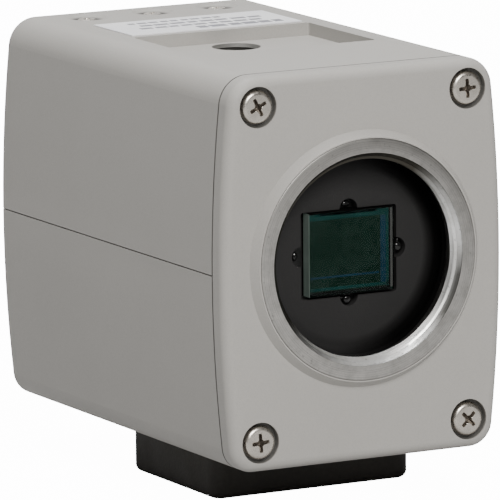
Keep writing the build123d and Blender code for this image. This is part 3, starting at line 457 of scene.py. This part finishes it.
def box_data(low, high):
    corners = [(x, y, z) for x in (low[0], high[0]) for y in (low[1], high[1]) for z in (low[2], high[2])]
    faces = [(0, 1, 3, 2), (4, 6, 7, 5), (0, 4, 5, 1), (2, 3, 7, 6), (0, 2, 6, 4), (1, 5, 7, 3)]
    return corners, faces


def thread_rows(r_minor, depth_mm, start, end, pitch, steps_per_turn):
    """Rows for a lathe that carry thread turns from start to end."""
    count = max(2, int(abs(end - start) / pitch * steps_per_turn))
    return [(r_minor, start + (end - start) * i / count, depth_mm, pitch) for i in range(count + 1)]


# ---------------------------------------------------------------- lens mount ring
def lens_ring():
    """Turned ring whose bore carries real thread turns from just inside a small bevel."""
    matrix = place_axis((0, DATUM_Y, LENS_Z), (0, 1, 0))
    back = RING_HIGH.y - DATUM_Y
    seat = -SEAT_TO_DATUM
    rows = [(BORE_MOUTH_R, seat), (14.8, seat), (14.92, seat + 0.05), (RING_OUTER_R, seat + 0.14),
            (RING_OUTER_R, RING_SHOULDER), (RING_FLANGE_R, RING_SHOULDER), (RING_FLANGE_R, back),
            (12.9, back), (12.9, 1.8), (12.75, 1.75)]
    rows += thread_rows(12.3, 0.4, 1.7, 0.3, LENS_PITCH, 14)
    rows += [(12.72, 0.2), (12.85, 0.0), (13.1, -0.22), (13.17, -0.33)]
    return lathe_data(rows, matrix, 256, closed=True)


ring = add_piece("lens_mount_ring_turned", *lens_ring(), "mount_metal", "mount_metal",
                 replaced=("lens_mount_ring",), smooth_deg=28.0)
ring.data.materials.append(MAT["thread_metal"])
for face in ring.data.polygons:
    centre = face.center / MM
    in_bore = math.hypot(centre.x, centre.z - LENS_Z) < BORE_MOUTH_R - 0.01 and centre.y < DATUM_Y + 1.9
    face.material_index = 1 if in_bore else 0


def tripod_bush(name, node, mouth_up):
    """Threaded bush with real turns and a bevelled mouth."""
    low, high = span(node)
    cx, cy = (low.x + high.x) / 2, (low.y + high.y) / 2
    shoulder = (high.x - low.x) / 2
    length = high.z - low.z
    base = Vector((cx, cy, low.z if mouth_up else high.z))
    matrix = place_axis(base, (0, 0, 1) if mouth_up else (0, 0, -1))
    rows = [(3.1, length), (3.1, length - 0.8), (shoulder, length - 0.8), (shoulder, 0.0), (2.9, 0.0)]
    rows += thread_rows(2.6, 0.45, 0.4, length - 0.6, TRIPOD_PITCH, 16)
    rows += [(2.62, length - 0.4), (3.0, length)]
    turned = lathe_data(rows, matrix, 96, closed=True)
    add_piece(name, *turned, "bush_steel", "brass_nickel", replaced=(node,), smooth_deg=35.0)


tripod_bush("top_bush_threaded", "top_thread_bush", True)
tripod_bush("foot_bush_threaded", "foot_thread_bush", False)


# ---------------------------------------------------------------- screws
def recess_depth(x, y, arm_length, arm_width, deep):
    """How far a cross-shaped driver recess goes down at a place on the head."""
    best = 0.0
    for along, across in ((abs(x), abs(y)), (abs(y), abs(x))):
        width = arm_width * (1.0 - 0.12 * along / arm_length)
        inside = min(width / 2 - across, arm_length - along)
        if inside > 0:
            wall = min(1.0, inside / (arm_width * 0.12))
            floor = deep * (1.0 - 0.55 * along / arm_length)
            best = max(best, wall * floor)
    centre = math.hypot(x, y)
    core = arm_width * 0.95
    if centre < core:
        best = max(best, deep * min(1.0, (core - centre) / (arm_width * 0.2)))
    return best


def screw_data(matrix, head_r, head_h, shank_r, length):
    """Pan-head cross-recess screw whose head's top is at local z = 0 and whose shank runs down."""
    segments, rings = 96, 30
    edge = head_h * 0.5
    crowning = head_h * 0.05
    recess = head_h * 0.75
    verts, faces = [matrix @ Vector((0, 0, -recess))], []
    for i in range(1, rings + 1):
        r = head_r * i / rings
        out = max(0.0, (r - (head_r - edge)) / edge)
        crown = -edge * (1.0 - math.sqrt(max(0.0, 1.0 - out * out))) - crowning * (r / head_r) ** 2
        for k in range(segments):
            angle = 2 * math.pi * k / segments
            x, y = r * math.cos(angle), r * math.sin(angle)
            dip = recess_depth(x, y, head_r * 0.55, head_r * 0.22, recess)
            verts.append(matrix @ Vector((x, y, crown - dip)))
    for k in range(segments):
        faces.append((0, 1 + k, 1 + (k + 1) % segments))
    for i in range(rings - 1):
        a, b = 1 + i * segments, 1 + (i + 1) * segments
        for k in range(segments):
            k2 = (k + 1) % segments
            faces.append((a + k, b + k, b + k2, a + k2))
    tip = -head_h - length
    rows = [(head_r, -edge * 1.05 - crowning), (head_r, -head_h), (shank_r, -head_h)]
    rows += thread_rows(shank_r * 0.82, shank_r * 0.18, -head_h - 0.2, tip + 0.3, shank_r * 0.42, 6)
    rows += [(shank_r * 0.8, tip + 0.2), (shank_r * 0.6, tip), (0.001, tip)]
    return merge([(verts, faces), lathe_data(rows, matrix, 48)])


def screws(name, node, places, direction, kind, length, turns):
    """A set of like screws, each turned by its own angle, with shaded faces in their recesses."""
    head_r, head_h, shank_r = kind
    data = [screw_data(place_axis(place, direction, turn), head_r, head_h, shank_r, length)
            for place, turn in zip(places, turns)]
    piece = add_piece(name, *merge(data), "screw_steel", "screw_steel", replaced=(node,), smooth_deg=40.0)
    piece.data.materials.append(MAT["recess_shadow"])
    axis = Vector(direction)
    for face in piece.data.polygons:
        centre = face.center / MM
        for place in places:
            offset = centre - Vector(place)
            sunk = -offset.dot(axis)
            away = (offset + sunk * axis).length
            if away < head_r * 0.6 and head_h * 0.24 < sunk < head_h:
                face.material_index = 1


CORNERS = [(sx, sz) for sx in (-1, 1) for sz in (-1, 1)]
CORNER_PLACES = [(sx * CORNER_SCREW_X, CENTRE_Z + sz * CORNER_SCREW_Z) for sx, sz in CORNERS]
BEZEL_HEAD_Y = span("bezel_screws")[0].y
REAR_HEAD_Y = PANEL_Y + CASE_SCREW[1]
TOP_HEAD_Z = span("top_screws")[1].z + 0.12
FOOT_LOW, FOOT_HIGH = span("foot_screws")
FOOT_Y = (FOOT_LOW.y + FOOT_HIGH.y) / 2
FOOT_SCREW_X = 9.0
FAN_LOW, FAN_HIGH = span("fan_frame")
FAN_Z = (FAN_LOW.z + FAN_HIGH.z) / 2
FAN_HEAD_Y = PANEL_Y + FAN_SCREW[1]

screws("bezel_screws_cross", "bezel_screws", [(x, BEZEL_HEAD_Y, z) for x, z in CORNER_PLACES],
       (0, -1, 0), CASE_SCREW, 8.5, (4.0, 27.0, 45.0, 3.0))
screws("rear_screws_cross", "rear_panel_screws", [(x, REAR_HEAD_Y, z) for x, z in CORNER_PLACES],
       (0, 1, 0), CASE_SCREW, 6.5, (30.0, 55.0, 80.0, 15.0))
screws("top_screws_cross", "top_screws",
       [(x, TOP_SCREW_Y, TOP_HEAD_Z) for x in (-TOP_SCREW_X, 0.0, TOP_SCREW_X)],
       (0, 0, 1), SMALL_TOP_SCREW, 2.3, (33.0, 45.0, 57.0))
screws("foot_screws_cross", "foot_screws",
       [(x, FOOT_Y, FOOT_LOW.z) for x in (-FOOT_SCREW_X, FOOT_SCREW_X)],
       (0, 0, -1), CASE_SCREW, 8.0, (15.0, 70.0))
screws("fan_screws_cross", "fan_screws",
       [(sx * FAN_HALF_SPACING, FAN_HEAD_Y, FAN_Z + sz * FAN_HALF_SPACING) for sx, sz in CORNERS],
       (0, 1, 0), FAN_SCREW, 7.0, (20.0, 50.0, 80.0, 10.0))


# ---------------------------------------------------------------- filter and its glue
def filter_stack():
    """Coated filter: a dark core, coloured edge bands behind a clear front layer, and thin side faces, the
    left one ground pale at its front; two strips on the front and the other side faces are flat black painted
    shade."""
    low, high = span("filter_glass")
    skin, cover = 0.03, 0.30
    front = low.y + cover
    core = box_data((low.x + skin, front, low.z + skin), (high.x - skin, high.y, high.z - skin))
    add_piece("filter_core", *core, "filter_core", "filter_glass", replaced=("filter_glass",))
    bands = [
        ("filter_band_top", (low.x + 0.1, high.z - 0.95), (high.x - 0.62, high.z - 0.1), "filter_band"),
        ("filter_blue_top", (low.x + 1.6, high.z - 0.42), (high.x - 2.3, high.z - 0.14), "filter_blue"),
        ("filter_band_right", (high.x - 1.0, low.z + 0.5), (high.x - 0.62, high.z - 0.95), "filter_band"),
        ("filter_blue_right", (high.x - 1.75, low.z + 1.0), (high.x - 1.02, high.z - 1.0), "filter_blue"),
        ("filter_band_low", (low.x + 0.25, low.z + 0.62), (high.x - 0.62, low.z + 1.0), "filter_band"),
        ("filter_band_line", (low.x + 0.25, low.z + 2.15), (high.x - 2.0, low.z + 2.4), "filter_blue"),
        ("filter_edge_right", (high.x - 0.36, low.z + 0.3), (high.x - 0.05, high.z - 0.1), "rosy_glass"),
        # painted shade: the two dark strips below
        ("filter_dark_low", (low.x + 0.1, low.z + 0.08), (high.x - 0.6, low.z + 0.5), "dark_gap"),
        ("filter_dark_right", (high.x - 0.6, low.z + 0.1), (high.x - 0.38, high.z - 0.1), "dark_gap"),
    ]
    for name, (x0, z0), (x1, z1), material in bands:
        data = box_data((x0, front - 0.04, z0), (x1, front + 0.02, z1))
        add_piece(name, *data, material, "filter_glass")
    pale = low.y + 1.5
    inner = low.x + skin
    sides = [
        ("filter_side_left", (low.x, low.y, low.z), (inner, pale, high.z), "ground_glass"),
        # painted shade: the back of the left side and the right, lower and top side faces
        ("filter_side_left_back", (low.x, pale, low.z), (inner, high.y, high.z), "dark_gap"),
        ("filter_side_right", (high.x - skin, low.y, low.z), (high.x, high.y, high.z), "dark_gap"),
        ("filter_side_low", (inner, low.y, low.z), (high.x - skin, high.y, low.z + skin), "dark_gap"),
        ("filter_side_top", (inner, low.y, high.z - skin), (high.x - skin, high.y, high.z), "dark_gap"),
    ]
    for name, a, b, material in sides:
        add_piece(name, *box_data(a, b), material, "filter_glass")
    clear = box_data((inner, low.y + 0.01, low.z + skin), (high.x - skin, front - 0.05, high.z - skin))
    add_piece("filter_front_layer", *clear, "clear_glass", "filter_glass")


filter_stack()


def glue_beads():
    """Irregular glossy beads, one in each notch of the window, and two small runs beside the lower and the
    right one."""
    low, high = span("filter_glue_dots")
    mid_x, mid_z = (low.x + high.x) / 2, (low.z + high.z) / 2
    r = 0.62
    front, back = low.y + r, high.y - r * 0.6
    # centre, width and height as shares of the full size
    beads = [
        (high.x - r, front, mid_z, 1.0, 1.0), (low.x + r, back, mid_z, 0.8, 1.0),
        (mid_x, back, high.z - r, 1.0, 0.75), (mid_x, front, low.z + r, 1.0, 1.0),
        (mid_x - 0.75, back, low.z + r + 0.28, 0.9, 0.45), (high.x - r - 0.1, back, mid_z + 0.7, 0.5, 0.8),
    ]
    across, along = 28, 16
    groups = []
    for x, y, z, wide, tall in beads:
        wobble = [rng.uniform(0.0, 2 * math.pi) for _ in range(2)]
        verts, faces = [], []
        for i in range(along + 1):
            phi = math.pi * i / along
            for k in range(across):
                theta = 2 * math.pi * k / across
                ripple = 0.94 + 0.03 * math.sin(2 * theta + wobble[0]) + 0.03 * math.sin(3 * phi + wobble[1])
                radius = r * ripple
                verts.append((x + wide * radius * math.sin(phi) * math.cos(theta),
                              y + 0.6 * radius * math.cos(phi),
                              z + tall * radius * math.sin(phi) * math.sin(theta)))
        for i in range(along):
            for k in range(across):
                k2 = (k + 1) % across
                a, b = i * across, (i + 1) * across
                faces.append((a + k, b + k, b + k2, a + k2))
        groups.append((verts, faces))
    add_piece("glue_beads", *merge(groups), "glue", "glue", replaced=("filter_glue_dots",), smooth_deg=60.0)


glue_beads()


# ---------------------------------------------------------------- rating label
def rating_label():
    """Foil plate with raised ink bars in place of words."""
    low, high = span("rating_label")
    top = high.z - 0.03
    add_piece("label_plate", *box_data(low, (high.x, high.y, top)), "label_foil", "label_foil",
              replaced=("rating_label",))
    bars = []
    margin = 1.2
    wide = high.x - low.x - 2 * margin
    # place from the front edge, height, start and end as shares of the width, and longest bar
    lines = [(2.0, 1.5, 0.42, 0.97, 2.4), (4.3, 0.9, 0.1, 0.9, 1.8), (6.4, 0.9, 0.15, 0.97, 2.2),
             (8.5, 0.8, 0.12, 0.75, 1.6)]
    for offset, height, start, end, word in lines:
        y = low.y + offset
        x = low.x + margin + wide * start
        limit = low.x + margin + wide * end
        while x < limit - 0.6:
            stop = min(x + rng.uniform(0.5, 1.0) * word, limit)
            bars.append(box_data((x, y - height / 2, top), (stop, y + height / 2, high.z - 0.005)))
            x = stop + rng.uniform(0.3, 0.6)
    add_piece("label_ink", *merge(bars), "ink", "label_foil")


rating_label()


# ---------------------------------------------------------------- floor, light and camera
SHEET_GLOW = 14.0          # backlit white sheet, bright to the camera only


def stage_plane(name, size, location, color):
    """Pale sheet that glows to the camera and can be seen through from below."""
    n = Nodes(name)
    tone = n.noise(3.0, 3.0)
    colour = n.mix(n.ramp(tone, 0.3, 0.7, 0.0, 1.0), shade(color, 0.99), color)
    material = finish_material(n, colour, 0.9)
    glow = n.new("ShaderNodeEmission")
    path = n.new("ShaderNodeLightPath")
    n.link(n.maths("MULTIPLY", path.outputs["Is Camera Ray"], SHEET_GLOW), glow.inputs["Strength"])
    both = n.new("ShaderNodeAddShader")
    n.link(n.bsdf.outputs[0], both.inputs[0])
    n.link(glow.outputs[0], both.inputs[1])
    from_below = n.new("ShaderNodeMixShader")
    n.link(n.new("ShaderNodeNewGeometry").outputs["Backfacing"], from_below.inputs["Fac"])
    n.link(both.outputs[0], from_below.inputs[1])
    n.link(n.new("ShaderNodeBsdfTransparent").outputs[0], from_below.inputs[2])
    n.link(from_below.outputs[0], n.tree.nodes["Material Output"].inputs["Surface"])
    mesh = bpy.data.meshes.new(name)
    half = size / 2
    corners = [(-half, -half, 0), (half, -half, 0), (half, half, 0), (-half, half, 0)]
    mesh.from_pydata(corners, [], [(0, 1, 2, 3)])
    mesh.materials.append(material)
    plane = bpy.data.objects.new(name, mesh)
    plane.location = location
    bpy.context.collection.objects.link(plane)


stage_plane("floor", 6.0, (0, 0, -0.0002), (0.46, 0.46, 0.46))


def area_light(name, location, target, size, power, color=(1.0, 1.0, 1.0)):
    data = bpy.data.lights.new(name, "AREA")
    data.shape = "RECTANGLE"
    data.size, data.size_y = size
    data.energy = power
    data.color = color
    light = bpy.data.objects.new(name, data)
    light.location = location
    aim = Vector(target) - Vector(location)
    light.rotation_euler = aim.to_track_quat("-Z", "Y").to_euler()
    bpy.context.collection.objects.link(light)


MIDDLE = (0.0, 0.0, 0.03)
area_light("key_softbox", (-0.2, -1.0, 0.75), MIDDLE, (0.5, 0.5), 14.8, (1.0, 0.985, 0.96))
area_light("top_softbox", (-0.05, 0.1, 0.95), MIDDLE, (0.6, 0.6), 9.0)
area_light("back_softbox", (0.3, 0.9, 0.5), MIDDLE, (0.7, 0.7), 1.5)

world = bpy.data.worlds.new("studio")
world.use_nodes = True
background = world.node_tree.nodes["Background"]
background.inputs["Color"].default_value = (1.0, 1.0, 1.0, 1.0)
background.inputs["Strength"].default_value = 0.13
bpy.context.scene.world = world


CAMERA_TURN = [math.radians(a) for a in (-28.319, 10.091, -0.472)]      # azimuth, elevation and roll
CAMERA_FROM_MOUNT = Vector((-456.746, -817.381, 167.880))
CAMERA_LENS = 560.64


def photo_camera():
    """Long lens, to the left of the lens mount and a little above it."""
    azimuth, elevation, roll = CAMERA_TURN
    back = Vector((math.sin(azimuth) * math.cos(elevation), -math.cos(azimuth) * math.cos(elevation),
                   math.sin(elevation)))
    right = (-back).cross(Vector((0, 0, 1))).normalized()
    up = right.cross(-back)
    cam_right = math.cos(roll) * right + math.sin(roll) * up
    cam_up = -math.sin(roll) * right + math.cos(roll) * up
    place = (CAMERA_FROM_MOUNT + Vector(MOUNT_CENTRE)) * MM
    data = bpy.data.cameras.new("camera")
    data.sensor_width = 36.0
    data.lens = CAMERA_LENS
    data.clip_end = 50.0
    camera = bpy.data.objects.new("camera", data)
    rotation = Matrix((cam_right, cam_up, back)).transposed()
    camera.matrix_world = Matrix.Translation(place) @ rotation.to_4x4()
    bpy.context.collection.objects.link(camera)
    bpy.context.scene.camera = camera


photo_camera()
